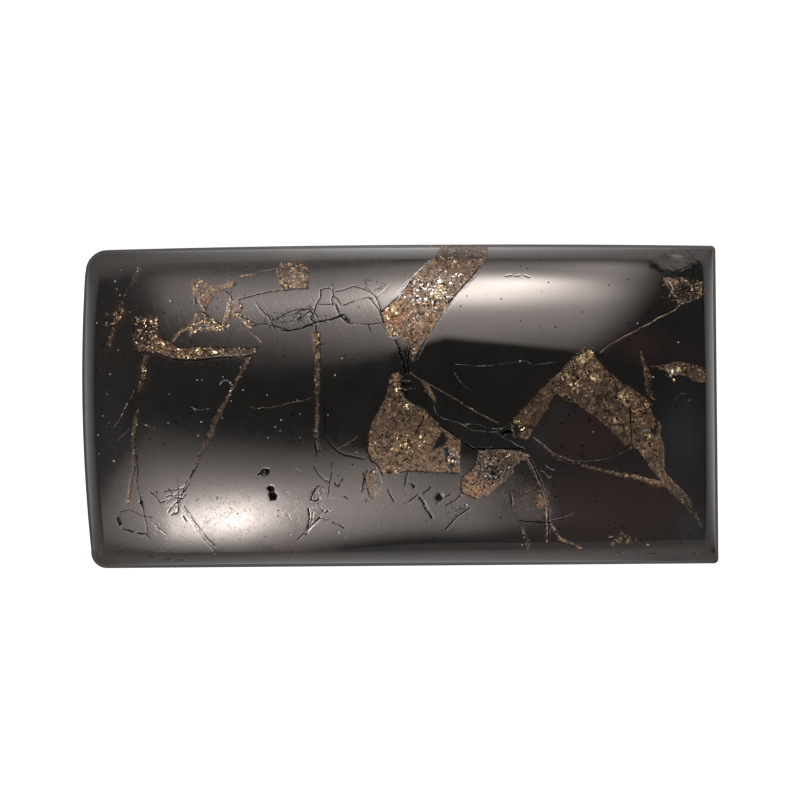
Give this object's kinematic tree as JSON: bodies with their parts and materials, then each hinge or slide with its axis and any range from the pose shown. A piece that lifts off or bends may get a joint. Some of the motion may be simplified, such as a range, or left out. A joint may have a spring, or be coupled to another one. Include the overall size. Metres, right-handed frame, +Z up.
{
  "type": "shungite cabochon",
  "caption": "Loose rectangular stone cabochon: black glassy shungite healed by brown pyrite veins, with a polished domed face and a flat sawn back to rest or be glued on.",
  "frame": {"origin": "middle of the sawn back, on the surface that the stone rests on", "axes": "+Z up out of the dome, +X along the stone, +Y to the long side at the top of the picture"},
  "size_m": [0.04, 0.0204, 0.0078],
  "materials": {
    "shungite": "mirror-polished black stone with brown and gold granular veins"
  },
  "bodies": {
    "root": {"stone": "shungite"}
  },
  "joints": []
}
